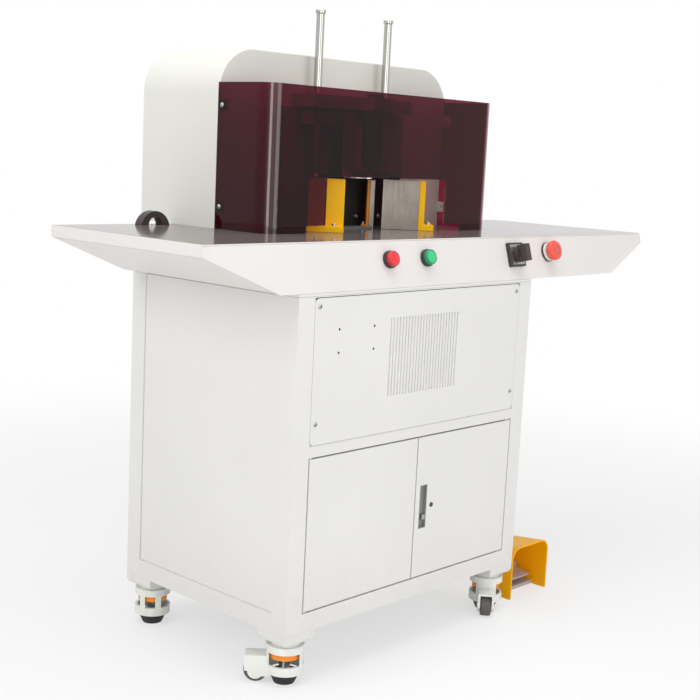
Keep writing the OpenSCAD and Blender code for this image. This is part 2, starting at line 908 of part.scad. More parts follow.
module housing_back() {
    x0 = hs_l + housing_t;
    x1 = hs_r - housing_t;
    color("WhiteSmoke") difference() {
        union() {
            xz_plate(hs_b - housing_t, housing_t) translate([station_x, tz]) housing_inside(0);
            box(x0, x1, tab_b, hs_b, tz, tz + housing_t);
        }
        for (i = [0:9]) translate([0, 0, tz + housing_h / 2 + back_pitch * (i - 1)])
            wide(station_x, back_vent_w, hs_b - 2 * housing_t, hs_b + cut, 0, back_slot);
    }
}

module side_handle() {
    color("Black") intersection() {
        difference() {
            bar_y(handle_x, handle_c, 2 * handle_r, handle_y - handle_d / 2, handle_y + handle_d / 2);
            bar_y(handle_x, tz, 2 * handle_hole, handle_y - handle_d, handle_y + handle_d);
        }
        box(handle_x - 60, handle_x + 60, handle_y - handle_d, handle_y + handle_d, tz, tz + 60);
    }
}

// Outline of the bent sheet seen from above, front edge on the x axis
module bend(w, d, r) {
    translate([-w / 2, r]) square([w, d - r]);
    translate([r - w / 2, 0]) square([w - 2 * r, d]);
    translate([r - w / 2, r]) circle(r);
    translate([w / 2 - r, r]) circle(r);
}

module guard() {
    color([0.35, 0.15, 0.2, 0.7]) difference() {
        translate([station_x, gd_f, tz]) linear_extrude(guard_h) difference() {
            bend(housing_w, guard_d, guard_r);
            translate([0, guard_t]) bend(housing_w - 2 * guard_t, guard_d, guard_r - guard_t);
        }
        wide(station_x, open_w, gd_f - cut, gd_f + guard_t + cut, tz - cut, tz + open_h);
        wide(station_x, slot_w, gd_f - cut, gd_f + guard_t + cut, tz - cut, tz + slot_h);
        for (z = guard_screw_zs) {
            bar_x(guard_screw_y, z, screw_d + 2 * screw_slip, hs_l - cut, hs_l + guard_t + cut);
            bar_x(guard_screw_y, z, screw_d + 2 * screw_slip, hs_r - guard_t - cut, hs_r + cut);
        }
    }
}

module head_block() {
    z1 = head_top + shelf_t;
    color("DimGray") difference() {
        union() {
            box(station_x - head_w / 2, station_x - head_gap / 2, hs_f - head_t, hs_f, head_low, head_top);
            box(station_x + head_gap / 2, station_x + head_w / 2, hs_f - head_t, hs_f, head_low, head_top);
            wide(station_x, 2 * (skirt_x - skirt_gap), hs_f - head_t, hs_f, tz, head_low);
            for (s = [-1, 1])
                wide(station_x + s * (head_w - skirt_end) / 2, skirt_end, hs_f - head_t, hs_f, tz, head_low);
            wide(station_x, shelf_w, shelf_f, hs_f, head_top, z1);
            wide(station_x, nose_w, knife_y - nose_w / 2, shelf_f, head_top, z1);
        }
        for (x = rod_xs) bar_z(x, rods_y, rod_d + 2 * bush_wall, head_top - cut, z1 + cut);
        bar_z(station_x, knife_y, nose_bore, head_top - cut, z1 + cut);
    }
}

module rod_bushes() {
    z1 = head_top + shelf_t;
    color("Goldenrod") for (x = rod_xs) difference() {
        union() {
            bar_z(x, rods_y, rod_d + 2 * bush_wall, head_top, z1);
            bar_z(x, rods_y, rod_d + 4 * bush_wall, z1, z1 + bush_flange);
        }
        bar_z(x, rods_y, rod_d + 2 * run, head_top - cut, z1 + bush_flange + cut);
    }
}

module guide_rods() {
    z1 = head_top + shelf_t + rod_out;
    color("LightGray") for (x = rod_xs) {
        bar_z(x, rods_y, rod_d, tz + stroke + 5, z1);
        bar_z(x, rods_y, cap_d, z1, z1 + cap_h);
    }
}

module crosshead() {
    color("Gray") difference() {
        union() {
            wide(station_x, cross_w, cross_f, cross_b, cross_z0, cross_z1);
            wide(station_x, 2 * boss_half, boss_f, rods_y, cross_z0, cross_z1);
            wide(station_x, arm_w, rods_y, ram_cy + arm_w / 2, cross_z0, cross_z1);
        }
        for (x = rod_xs) bar_z(x, rods_y, rod_d, cross_z0 - cut, cross_z1 + cut);
        bar_z(station_x, ram_cy, spigot_d, cross_z0 - cut, cross_z1 + cut);
    }
}

module knife() {
    bevel_z = knife_z + 1.5 * knife_t;
    color("Silver") translate([station_x, knife_y, 0]) rotate([0, 0, 90 - knife_half])
        rotate_extrude(angle = 2 * knife_half)
            polygon([[knife_r, knife_z], [knife_od, bevel_z], [knife_od, cross_z0], [knife_r, cross_z0]]);
}

module piston_rod() {
    z1 = ram_bore_z1 - 1;
    color("LightGray") {
        bar_z(station_x, ram_cy, ram_bore - 2 * run, z1 - piston_h, z1);
        bar_z(station_x, ram_cy, piston_rod_d, z1, cross_z0);
        bar_z(station_x, ram_cy, spigot_d, cross_z0, cross_z1);
    }
}

module ram_cylinder() {
    color("DarkSlateGray") difference() {
        union() {
            bar_z(station_x, ram_cy, ram_d, ram_z0, plate_z);
            wide(station_x, 1.4 * ram_d, ram_cy - ram_d / 2, ram_cy + ram_d / 2, plate_z - 12, plate_z);
            wide(station_x, 2 * pipe_d, port_f, ram_cy, pipe_z - pipe_d, plate_z - 12);
        }
        bar_z(station_x, ram_cy, ram_bore, ram_bore_z0, ram_bore_z1);
        bar_z(station_x, ram_cy, piston_rod_d + 2 * run, ram_bore_z1 - cut, plate_z + cut);
    }
}

module presser_cylinder() {
    z1 = head_top + shelf_t;
    color("Silver") difference() {
        union() {
            bar_z(station_x, knife_y, barrel_d, barrel_z0, head_top);
            bar_z(station_x, knife_y, nose_bore, head_top, z1);
            bar_z(station_x, knife_y, nose_bore + 8, z1, z1 + 7);
        }
        bar_z(station_x, knife_y, barrel_id, barrel_z0 + 6, presser_top);
        bar_z(station_x, knife_y, presser_rod_d + 2 * run, barrel_z0 - cut, barrel_z0 + 6 + cut);
    }
}

module presser_foot() {
    z1 = presser_top - 0.5;
    color("LightGray") {
        difference() {
            bar_z(station_x, knife_y, pad_d, pad_z, pad_z + pad_t);
            wide(station_x, pad_d, knife_y + pad_back, knife_y + pad_d, pad_z - cut, pad_z + pad_t + cut);
        }
        bar_z(station_x, knife_y, presser_rod_d, pad_z + pad_t, z1 - presser_piston_h);
        bar_z(station_x, knife_y, barrel_id - 2 * run, z1 - presser_piston_h, z1);
    }
}

module fences() {
    color("Silver") station_pair() {
        on_fence() translate([fence_start, 0, 0]) cube([fence_len, fence_t, fence_h]);
        translate([guide_x, guide_y, 0]) rotate([0, 0, 45])
            translate([-guide_len / 2, -guide_t / 2, 0]) cube([guide_len, guide_t, guide_h]);
    }
}

module station_brackets() {
    x1 = fence_start + fence_len;
    y1 = guide_t / 2 + guide_bracket_t;
    color("Orange") station_pair() {
        on_fence() {
            translate([x1, 0, 0]) cube([bracket_t, bracket_w, fence_h]);
            translate([x1 + bracket_t, 0, 0]) cube([bracket_foot, bracket_w, bracket_t]);
        }
        translate([guide_x, guide_y, 0]) rotate([0, 0, 45]) {
            translate([-guide_len / 2, guide_t / 2, 0]) cube([guide_len, guide_bracket_t, guide_h]);
            translate([-guide_len / 2, y1, 0]) cube([guide_len / 2, guide_foot, guide_bracket_t]);
        }
    }
}

module cutting_block() {
    y1 = knife_y + knife_od + 4;
    color("Gray") box(station_x - block_w / 2, station_x + block_w / 2, y1 - block_d, y1, tz, tz + block_t);
}

module pump_motor() {
    x1 = motor_x0 + motor_len;
    color("SteelBlue") {
        bar_x(pump_cy, pump_z, motor_d, motor_x0, x1);
        box(motor_x0 + 50, x1 - 50, pump_cy - motor_d * 0.4, pump_cy + motor_d * 0.4, deck_z, pump_z);
        box(motor_x0 + 60, x1 - 60, pump_cy - 30, pump_cy + 30, pump_z, pump_z + motor_d / 2 + 30);
    }
}

module oil_tank() {
    color("DarkSlateGray") {
        translate([pump_x0, pump_cy - pump_w / 2, pump_z - pump_w / 2]) cube([pump_len, pump_w, pump_w]);
        translate([tank_x0, pump_cy - tank_w / 2, deck_z]) cube([tank_len, tank_w, tank_w]);
        bar_z(tank_x0 + tank_len - 35, pump_cy, 32, deck_z + tank_w, deck_z + tank_w + 18);
    }
}

module pressure_pipe() {
    color("Silver") {
        bar_z(pipe_x, pump_cy, pipe_d, pump_z + pump_w / 2, pipe_z);
        translate([pipe_x, pump_cy, pipe_z]) sphere(d = pipe_d);
        bar_x(pump_cy, pipe_z, pipe_d, pipe_x, station_x);
        translate([station_x, pump_cy, pipe_z]) sphere(d = pipe_d);
        bar_y(station_x, pipe_z, pipe_d, pump_cy, port_f);
    }
}

module button_cap(x) {
    on_panel() {
        bar_y(x, -button_drop, button_d, -bezel_h - button_out, -cap_back);
        bar_y(x, -button_drop, button_stem, -cap_back, sheet + 5);
    }
}

module red_button() {
    color("Red") button_cap(red_x);
}

module green_button() {
    color("Green") button_cap(green_x);
}

module button_bezels() {
    z = -button_drop;
    color("Black") on_panel() for (x = [red_x, green_x]) difference() {
        union() {
            bar_y(x, z, bezel_d, -bezel_h, 0);
            bar_y(x, z, body_d, 0, sheet + sock_len);
            bar_y(x, z, bezel_d, sheet, sheet + 4);
            box(x - 14, x + 14, sheet + sock_len, sheet + sock_len + contact_len, z - 18, z + 18);
        }
        bar_y(x, z, button_d + 2 * run, -bezel_h - cut, -bezel_floor);
        bar_y(x, z, button_stem + 2 * run, -bezel_floor - cut, sheet + sock_len - 6);
    }
}

module switch_plate() {
    h = switch_w / 2;
    color("DimGray") on_panel() translate([switch_x, 0, -switch_drop]) difference() {
        union() {
            box(-h, h, -switch_t, 0, -h, h);
            bar_y(0, 0, body_d, 0, sheet);
            box(-20, 20, sheet, sheet + 44, -20, 20);
        }
        bar_y(0, 0, shaft_d + 2 * run, -switch_t - cut, sheet + 12);
    }
}

module switch_knob() {
    y1 = -switch_t - slip;
    y0 = y1 - knob_t;
    w = grip_w / 2;
    h = grip_l / 2;
    color("Black") on_panel() translate([switch_x, 0, -switch_drop]) {
        bar_y(0, 0, shaft_d, y1, sheet + 11);
        bar_y(0, 0, knob_w, y0, y1);
        box(-w, w, -switch_out, y0 + knob_t / 2, -h, h);
    }
}

module estop_collar() {
    y0 = -estop_base_h;
    color("Gray") on_panel() translate([estop_x, 0, -estop_drop]) difference() {
        union() {
            bar_y(0, 0, estop_base_d, y0, 0);
            bar_y(0, 0, collar_d, y0 - collar_h, y0);
            bar_y(0, 0, body_d, 0, sheet + sock_len);
            bar_y(0, 0, bezel_d, sheet, sheet + 4);
            box(-14, 14, sheet + sock_len, sheet + sock_len + contact_len, -20, 20);
        }
        bar_y(0, 0, stem_d + 2 * run, y0 - collar_h - cut, sheet + sock_len - 2);
    }
}

module estop_head() {
    r = estop_d / 2;
    h = estop_h;
    color("Red") on_panel() translate([estop_x, h - estop_reach, -estop_drop]) {
        rotate([90, 0, 0]) rotate_extrude() polygon([[0, 0], [0.84 * r, 0], [r, 0.25 * h],
            [r, 0.55 * h], [0.88 * r, 0.82 * h], [0.6 * r, h], [0, h]]);
        bar_y(0, 0, stem_d, 0, estop_reach - h + 8);
    }
}

module pedal_base() {
    x0 = ped_x + pedal_t;
    x1 = ped_x + pedal_w - pedal_t;
    ear_x = treadle_w / 2 + slip;
    color("DarkGray") difference() {
        union() {
            box(x0, x1, ped_f + base_in, ped_f + pedal_d - pedal_t, 0, pedal_base_t);
            for (x = [ped_c - ear_x - ear_t, ped_c + ear_x])
                box(x, x + ear_t, pivot_y - 10, pivot_y + 10, pedal_base_t, pivot_z + 10);
        }
        bar_x(pivot_y, pivot_z, pivot_d + 2 * run, x0 - cut, x1 + cut);
    }
}

// Loaf with its roof falling to the back, cut off in front, behind and below
module hood_form(w, h, r, y0, y1, z0) {
    intersection() {
        translate([ped_c, ped_f, 0]) rotate([-hood_slope, 0, 0]) xz_plate(-pedal_d, 3 * pedal_d) {
            loaf(w, h, r);
            translate([-w / 2, -pedal_d]) square([w, pedal_d + h / 2]);
        }
        box(ped_x - cut, ped_x + pedal_w + cut, y0, y1, z0, 2 * pedal_h);
    }
}

module pedal_hood() {
    t = pedal_t;
    color("Orange") difference() {
        hood_form(pedal_w, pedal_h, pedal_r, ped_f, ped_f + pedal_d, 0);
        hood_form(pedal_w - 2 * t, pedal_h - t, pedal_r - t, ped_f - cut, ped_f + pedal_d - t, -cut);
    }
}

module pedal_treadle() {
    h = treadle_t / 2;
    w = treadle_w / 2;
    color("Silver") translate([ped_c, pivot_y, pivot_z]) rotate([treadle_rest, 0, 0]) {
        wide(0, treadle_w, -treadle_len, 0, -h, h);
        bar_x(0, 0, 2 * pivot_d, -w, w);
        bar_x(0, 0, pivot_d, -w - ear_t, w + ear_t);
    }
}

module caster_mounts() {
    h = mount_w / 2;
    color("WhiteSmoke") for (x = caster_xs) for (y = caster_ys) {
        box(x - h, x + h, y - h, y + h, caster_h, base_z);
        box(x - h + 2, x + h - 2, y - h + 2, y + h - 2, plate_low, caster_h);
        bar_z(x, y, king_d, roof_z + 2 + slip, plate_low);
    }
}

module caster_frame(ix, iy) {
    wz = wheel_d / 2;
    win = body_id / 2 - 2;
    x1 = wheel_off + wz - 2;
    color("White") at_caster(ix, iy) {
        difference() {
            union() {
                bar_z(0, 0, body_od, body_low, body_top);
                bar_z(0, 0, body_od - 16, body_top, plate_low - slip);
                for (s = [-1, 1]) translate([0, s * (fork_half - fork_t / 2), 0]) {
                    box(10, wheel_off, -fork_t / 2, fork_t / 2, wz - 9, wheel_d + 2.5);
                    bar_y(wheel_off, wz, 28, -fork_t / 2, fork_t / 2);
                    box(wheel_off - 8, x1, -fork_t / 2, fork_t / 2, wz, wheel_d + 2.5);
                }
                box(20, x1, -fork_half, fork_half, wheel_d + 2.5, wheel_d + 7);
            }
            bar_z(0, 0, body_id, body_low - 10, roof_z);
            bar_z(0, 0, king_d + 2 * run, roof_z + 2, plate_low);
            bar_y(wheel_off, wz, wheel_d + 3, -fork_half + fork_t, fork_half - fork_t);
            box(-win, win, -body_od, -10, win_z0, win_z1);
            box(-win, win, 10, body_od, win_z0, win_z1);
            box(-body_od, -10, -10, 10, win_z0, win_z1);
        }
        bar_z(0, 0, spindle_d, foot_h + 12, roof_z);
        bar_y(wheel_off, wz, axle_d, -fork_half + fork_t, fork_half - fork_t);
    }
}

module caster_wheel(ix, iy) {
    z = wheel_d / 2;
    color("DarkGray") at_caster(ix, iy) difference() {
        bar_y(wheel_off, z, wheel_d, -wheel_w / 2, wheel_w / 2);
        bar_y(wheel_off, z, axle_d + 2 * run, -wheel_w, wheel_w);
    }
}

module caster_foot(ix, iy) {
    color("Black") at_caster(ix, iy) difference() {
        union() {
            cylinder(d1 = foot_d0, d2 = foot_d1, h = foot_h);
            bar_z(0, 0, spindle_d + 8, foot_h, ring_top);
            bar_z(0, 0, ring_d, ring_top - ring_h, ring_top);
        }
        bar_z(0, 0, spindle_d + 2 * run, 30 - foot_travel - 6, ring_top + cut);
    }
}

corner_posts();
cabinet_rails();
side_panels();
back_panel();
cabinet_top();
cabinet_floor();
cabinet_shelf();
access_panel();
cover_screws();
door_left();
door_right();
door_pull();
door_lock();
table_top();
front_panel();
back_apron();
subframe();
housing_shell();
housing_front();
housing_back();
side_handle();
guard();
head_block();
rod_bushes();
guide_rods();
crosshead();
knife();
piston_rod();
ram_cylinder();
presser_cylinder();
presser_foot();
fences();
station_brackets();
cutting_block();
pump_motor();
oil_tank();
pressure_pipe();
red_button();
green_button();
button_bezels();
switch_plate();
switch_knob();
estop_collar();
estop_head();
pedal_base();
pedal_hood();
pedal_treadle();
caster_mounts();
caster_frame(0, 0);  // caster_frame_fl
caster_frame(1, 0);  // caster_frame_fr
caster_frame(0, 1);  // caster_frame_bl
caster_frame(1, 1);  // caster_frame_br
caster_wheel(0, 0);  // caster_wheel_fl
caster_wheel(1, 0);  // caster_wheel_fr
caster_wheel(0, 1);  // caster_wheel_bl
caster_wheel(1, 1);  // caster_wheel_br
caster_foot(0, 0);  // caster_foot_fl
caster_foot(1, 0);  // caster_foot_fr
caster_foot(0, 1);  // caster_foot_bl
caster_foot(1, 1);  // caster_foot_br
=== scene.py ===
"""Looks of a corner rounding machine: wheeled cabinet, work table, guarded station and foot switch."""

import json
import math

import bmesh
import bpy
from mathutils import Matrix, Vector


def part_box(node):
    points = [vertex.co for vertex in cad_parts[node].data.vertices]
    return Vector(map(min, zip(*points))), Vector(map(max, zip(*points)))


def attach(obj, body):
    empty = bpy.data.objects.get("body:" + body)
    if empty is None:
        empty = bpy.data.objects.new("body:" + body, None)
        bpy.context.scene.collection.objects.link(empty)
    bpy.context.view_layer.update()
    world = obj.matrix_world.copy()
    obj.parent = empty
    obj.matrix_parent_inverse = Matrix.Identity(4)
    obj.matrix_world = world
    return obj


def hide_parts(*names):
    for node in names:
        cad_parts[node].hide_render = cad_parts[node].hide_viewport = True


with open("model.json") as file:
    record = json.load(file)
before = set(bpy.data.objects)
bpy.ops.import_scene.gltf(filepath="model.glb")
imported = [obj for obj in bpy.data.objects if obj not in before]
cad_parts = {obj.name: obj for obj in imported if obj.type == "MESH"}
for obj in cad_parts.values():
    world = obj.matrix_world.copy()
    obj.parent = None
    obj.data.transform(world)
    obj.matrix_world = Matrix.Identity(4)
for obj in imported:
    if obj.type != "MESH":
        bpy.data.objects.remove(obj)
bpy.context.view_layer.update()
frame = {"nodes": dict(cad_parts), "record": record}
NODES = frame["nodes"]
BODY_OF = {node: body for body, group in frame["record"]["behaviour"]["bodies"].items() for node in group}
SLOT_OF = {part["node"]: part["material_slot"] for part in frame["record"]["subparts"]}

# Places on the machine, in metres
TABLE_Z = 0.780
TABLE_FRONT = -0.2282388
CABINET_X = -0.127
CABINET_FRONT = -0.2532388
HOUSING_FRONT = 0.0577612
GUARD_FRONT = -0.0812388
STATION_X = -0.052
PEDAL_FRONT = -0.2292388
PANEL = Matrix.Translation((0, TABLE_FRONT, TABLE_Z)) @ Matrix.Rotation(-math.atan(25 / 84), 4, "X")
FACING_FRONT = Matrix.Rotation(math.pi / 2, 4, "X")
PEDAL_PIVOT = Matrix.Translation((0.304, -0.1432388, 0.032)) @ Matrix.Rotation(math.radians(8), 4, "X")
# Each caster's x, y and heading in degrees
CORNERS = {"fl": (-0.418, -0.2167388, 133), "fr": (0.164, -0.2167388, 219),
           "bl": (-0.418, 0.1602612, 43), "br": (0.164, 0.1602612, 100)}
# The guard's bends, by distance from the station's middle: where they begin, fill out, fade and end
GUARD_BEND = (0.295, 0.301, 0.315, 0.319)
CAMERA_AT = (-1.918174, -1.740389, 0.936532)


def srgb(red, green, blue):
    """A colour as seen on a screen, 0 to 255, as the linear colour that a shader takes."""
    def linear(value):
        value /= 255
        return value / 12.92 if value <= 0.04045 else ((value + 0.055) / 1.055) ** 2.4
    return (linear(red), linear(green), linear(blue), 1.0)


class Tone:
    """A node's output; arithmetic on tones adds Math nodes."""

    def __init__(self, finish, socket):
        self.finish = finish
        self.socket = socket

    def _math(self, operation, first, second):
        return self.finish.node("ShaderNodeMath", {"operation": operation}, {0: first, 1: second})

    def __add__(self, other):
        return self._math("ADD", self, other)

    def __sub__(self, other):
        return self._math("SUBTRACT", self, other)

    def __rsub__(self, other):
        return self._math("SUBTRACT", other, self)

    def __mul__(self, other):
        return self._math("MULTIPLY", self, other)

    __radd__ = __add__
    __rmul__ = __mul__


class Finish:
    """A surface finish: one material whose constants go straight to the shader's sockets."""

    def __init__(self, name, **constants):
        self.material = bpy.data.materials.new(name)
        self.material.use_nodes = True
        self.tree = self.material.node_tree
        self.shader = self.tree.nodes["Principled BSDF"]
        for socket, value in constants.items():
            self.shader.inputs[socket.replace("_", " ")].default_value = value
        self.place = self.node("ShaderNodeTexCoord", output="Object")

    def node(self, kind, settings=None, inputs=None, output=0):
        """Adds a node: its settings first, then the values or links of its sockets."""
        made = self.tree.nodes.new(kind)
        for key, value in (settings or {}).items():
            setattr(made, key, value)
        for key, value in (inputs or {}).items():
            if isinstance(value, Tone):
                self.tree.links.new(value.socket, made.inputs[key])
            else:
                made.inputs[key].default_value = value
        return Tone(self, made.outputs[output]) if len(made.outputs) else None

    def feed(self, **tones):
        for socket, tone in tones.items():
            self.tree.links.new(tone.socket, self.shader.inputs[socket.replace("_", " ")])

    def noise(self, scale, detail=2.0, stretch=None, rough=0.5):
        where = self.place
        if stretch:
            where = self.node("ShaderNodeMapping", {}, {"Vector": where, "Scale": stretch})
        return self.node("ShaderNodeTexNoise", {}, {"Vector": where, "Scale": scale, "Detail": detail,
                                                    "Roughness": rough})

    def step(self, tone, low, high):
        return self.node("ShaderNodeMapRange", {"interpolation_type": "SMOOTHSTEP"},
                         {"Value": tone, "From Min": low, "From Max": high})

    def mix(self, share, first, second):
        return self.node("ShaderNodeMix", {"data_type": "RGBA"}, {0: share, 6: first, 7: second}, output=2)

    def height(self):
        return self.node("ShaderNodeSeparateXYZ", {}, {0: self.place}, output=2)

    def bump(self, tone, strength, distance):
        return self.node("ShaderNodeBump", {}, {"Strength": strength, "Distance": distance, "Height": tone})


def shade(colour, share):
    """A colour made darker or lighter."""
    return tuple(channel * share for channel in colour[:3]) + (1.0,)


def enamel(name, colour, rough=0.4, peel=0.05, dust=0.0, shine=0.5):
    """Stoved paint on sheet metal: fine orange peel, faint cloudiness and, low down, a little dust."""
    finish = Finish(name, IOR=1.47, Specular_IOR_Level=shine)
    cloud = finish.noise(3.1, 4.0)
    tint = finish.mix(finish.step(cloud, 0.3, 0.7), shade(colour, 0.975), shade(colour, 1.015))
    if dust:
        low = 1 - finish.step(finish.height(), 0.08, 0.30)
        tint = finish.mix(low * finish.noise(38.0, 5.0) * dust, tint, srgb(150, 140, 124))
    smear = finish.noise(16.0, 3.0, (1.0, 1.0, 0.35))
    finish.feed(Base_Color=tint, Roughness=rough - 0.05 + 0.12 * smear,
                Normal=finish.bump(finish.noise(430.0, 1.5), peel, 0.0006))
    return finish.material


def moulded(name, colour, rough=0.45, grain=0.12, coat=0.0):
    """Moulded plastic with a fine grain and slight handling shine."""
    finish = Finish(name, IOR=1.5, Coat_Weight=coat, Coat_Roughness=0.12)
    wear = finish.noise(70.0, 4.0)
    finish.feed(Base_Color=finish.mix(wear, shade(colour, 0.9), shade(colour, 1.1)),
                Roughness=rough - 0.08 + 0.16 * wear,
                Normal=finish.bump(finish.noise(900.0, 2.0), grain, 0.0004))
    return finish.material


def metal(name, colour, rough=0.25, stretch=(1.0, 1.0, 1.0), scale=300.0, streak=0.12, mottle=0.0):
    """Bare metal whose scratches follow the stretch, with optional blotches."""
    finish = Finish(name, Metallic=1.0)
    lines = finish.noise(scale, 3.0, stretch, 0.65)
    blot = finish.noise(26.0, 5.0)
    share = finish.step(blot, 0.35, 0.75) * mottle + lines * 0.25
    finish.feed(Base_Color=finish.mix(share, colour, shade(colour, 0.68)),
                Roughness=rough - streak / 2 + streak * lines,
                Normal=finish.bump(lines, 0.06, 0.0003))
    return finish.material


def cast(name, colour, metallic=0.0, rough=0.5, pits=0.35, shine=0.5):
    """Painted or bare casting with a sandy skin."""
    finish = Finish(name, Metallic=metallic, Specular_IOR_Level=shine)
    sand = finish.noise(240.0, 4.0)
    patch = finish.noise(19.0, 4.0)
    finish.feed(Base_Color=finish.mix(patch, shade(colour, 0.88), shade(colour, 1.1)),
                Roughness=rough - 0.07 + 0.14 * patch,
                Normal=finish.bump(sand, pits, 0.0006))
    return finish.material


def smoked_acrylic():
    """Dark red-brown sheet that shows what is behind it, with faint wiping haze and glossier bends."""
    finish = Finish("smoked_acrylic", IOR=1.26, Transmission_Weight=1.0, Coat_Roughness=0.05, Coat_IOR=1.6)
    haze = finish.noise(9.0, 4.0, (1.0, 1.0, 0.5))
    along = finish.node("ShaderNodeSeparateXYZ", {}, {0: finish.place}, output=0)
    from_middle = finish.node("ShaderNodeMath", {"operation": "ABSOLUTE"}, {0: along - STATION_X})
    begin, full, fade, end = GUARD_BEND
    bend = finish.step(from_middle, begin, full) - finish.step(from_middle, fade, end)
    finish.feed(Base_Color=finish.mix(haze, (0.140, 0.011, 0.030, 1), (0.168, 0.014, 0.037, 1)),
                Roughness=0.02 + 0.05 * finish.step(finish.noise(60.0, 5.0), 0.5, 0.9), Coat_Weight=0.8 * bend)
    return finish.material


def polished_table():
    """Polished steel sheet with a fine lengthwise grain and wiping marks."""
    finish = Finish("polished_table", Metallic=0.35, Specular_IOR_Level=0.02)
    lines = finish.noise(260.0, 3.0, (0.03, 1.0, 1.0), 0.6)
    wipe = finish.noise(7.0, 4.0, (0.6, 1.0, 1.0))
    # Dark, warm base tones: partly the steel's own colour, partly painted reflection of a dim pinkish room
    base = finish.mix(wipe, (0.225, 0.195, 0.19, 1), (0.255, 0.225, 0.22, 1))
    finish.feed(Base_Color=base, Roughness=0.06 + 0.06 * wipe + 0.04 * lines,
                Normal=finish.bump(lines, 0.02, 0.0002))
    return finish.material


cabinet_white = enamel("cabinet_white", srgb(231, 230, 227), 0.40, 0.05, dust=0.12)
table_white = enamel("table_white", srgb(230, 226, 223), 0.36, 0.04)
housing_white = enamel("housing_white", srgb(226, 226, 219), 0.44, 0.04)
inner_grey = enamel("inner_grey", srgb(200, 199, 195), 0.5, 0.05)
table_plate = polished_table()
acrylic = smoked_acrylic()
acrylic_edge = moulded("acrylic_edge", srgb(112, 62, 66), 0.3, 0.03, 0.3)
vent_mesh = cast("vent_mesh", srgb(236, 236, 232), 0.0, 0.6, 0.6)
# Base colour set below that of bare chrome: painted reflection of darker surroundings, which the white room does
# not give
chrome = metal("chromed_rod", srgb(180, 178, 173), 0.10, (1.0, 1.0, 0.04), 500.0, 0.06)
# Base colour far darker than bare ground steel: painted reflection of dim surroundings; the blotches are the
# steel's own mottling
ground_steel = metal("ground_steel", srgb(114, 107, 100), 0.34, (1.0, 1.0, 0.06), 380.0, 0.2, mottle=0.5)
screw_steel = metal("screw_steel", srgb(178, 178, 176), 0.32, scale=160.0)
edge_steel = metal("knife_steel", srgb(205, 206, 208), 0.2, (0.05, 0.05, 1.0), 420.0, 0.1)
dark_iron = cast("dark_iron", srgb(42, 40, 41), 0.35, 0.5, 0.25)
head_grey = cast("head_grey", srgb(166, 158, 155), 0.0, 0.5, 0.25)
bronze = metal("bush_bronze", srgb(196, 158, 92), 0.3, scale=200.0)
bracket_yellow = enamel("bracket_yellow", srgb(255, 194, 0), 0.34, 0.06, shine=0.15)
guide_orange = enamel("guide_orange", srgb(252, 156, 20), 0.32, 0.06, shine=0.2)
hood_yellow = cast("hood_yellow", srgb(255, 184, 2), 0.0, 0.42, 0.10, shine=0.2)
cast_grey = cast("cast_grey", srgb(190, 182, 184), 0.1, 0.48, 0.3)
black_plastic = moulded("black_plastic", srgb(44, 40, 40), 0.42)
brown_black = moulded("brown_black", srgb(56, 45, 44), 0.38)
grey_plastic = moulded("grey_plastic", srgb(116, 121, 117), 0.4)
pull_grey = moulded("pull_grey", srgb(140, 145, 141), 0.4)
plate_grey = metal("switch_face", srgb(176, 176, 174), 0.42, (0.05, 1.0, 1.0), 420.0, 0.15)
pale_plastic = moulded("pale_plastic", srgb(226, 222, 214), 0.4)
red_lens = moulded("red_lens", srgb(252, 22, 44), 0.24, 0.03, 0.3)
red_rim = moulded("red_rim", srgb(186, 16, 36), 0.3, 0.03, 0.5)
green_lens = moulded("green_lens", srgb(0, 206, 130), 0.24, 0.03, 0.3)
green_rim = moulded("green_rim", srgb(0, 128, 84), 0.3, 0.03, 0.5)
stop_red = moulded("stop_red", srgb(240, 78, 62), 0.36, 0.05, 0.25)
mark_grey = moulded("mark_grey", srgb(116, 110, 114), 0.5)
caster_white = moulded("caster_white", srgb(232, 234, 228), 0.36, 0.06)
ring_orange = moulded("ring_orange", srgb(250, 156, 50), 0.4, 0.08)
hub_white = moulded("hub_white", srgb(206, 206, 200), 0.4, 0.06)
tyre_grey = moulded("tyre_grey", srgb(92, 88, 84), 0.62, 0.3)
pad_rubber = moulded("pad_rubber", srgb(38, 37, 38), 0.68, 0.3)
motor_blue = enamel("motor_blue", srgb(70, 96, 122), 0.45, 0.08)


def merged_copy(node):
    """A CAD node's solid as connected faces, flat ones joined up again."""
    bm = bmesh.new()
    bm.from_mesh(NODES[node].data)
    bmesh.ops.remove_doubles(bm, verts=bm.verts, dist=1e-5)
    bmesh.ops.dissolve_limit(bm, angle_limit=math.radians(0.4), verts=bm.verts, edges=bm.edges)
    return bm


def hard_edges(bm, limit=35):
    """Edges sharper than the limit, apart from those where touching solids meet."""
    shared = {vert for edge in bm.edges if len(edge.link_faces) != 2 for vert in edge.verts}
    return [e for e in bm.edges if len(e.link_faces) == 2 and e.calc_face_angle(0) > math.radians(limit)
            and shared.isdisjoint(e.verts)]


def soften(bm, width, segments=2, edges=None):
    """Rounds the given edges, or every hard edge."""
    bmesh.ops.bevel(bm, geom=hard_edges(bm) if edges is None else edges, offset=width, offset_type="OFFSET",
                    segments=segments, profile=0.5, affect="EDGES", clamp_overlap=True, material=-1)


def block(bm, low, high):
    """Adds a box between two corners and gives its vertices."""
    low, high = Vector(low), Vector(high)
    fit = Matrix.Translation((low + high) / 2) @ Matrix.Diagonal((*(high - low), 1))
    return bmesh.ops.create_cube(bm, size=1, matrix=fit)["verts"]


def linked(verts):
    """All vertices joined to the given ones."""
    found = set(verts)
    to_follow = list(verts)
    while to_follow:
        for edge in to_follow.pop().link_edges:
            for vert in edge.verts:
                if vert not in found:
                    found.add(vert)
                    to_follow.append(vert)
    return list(found)


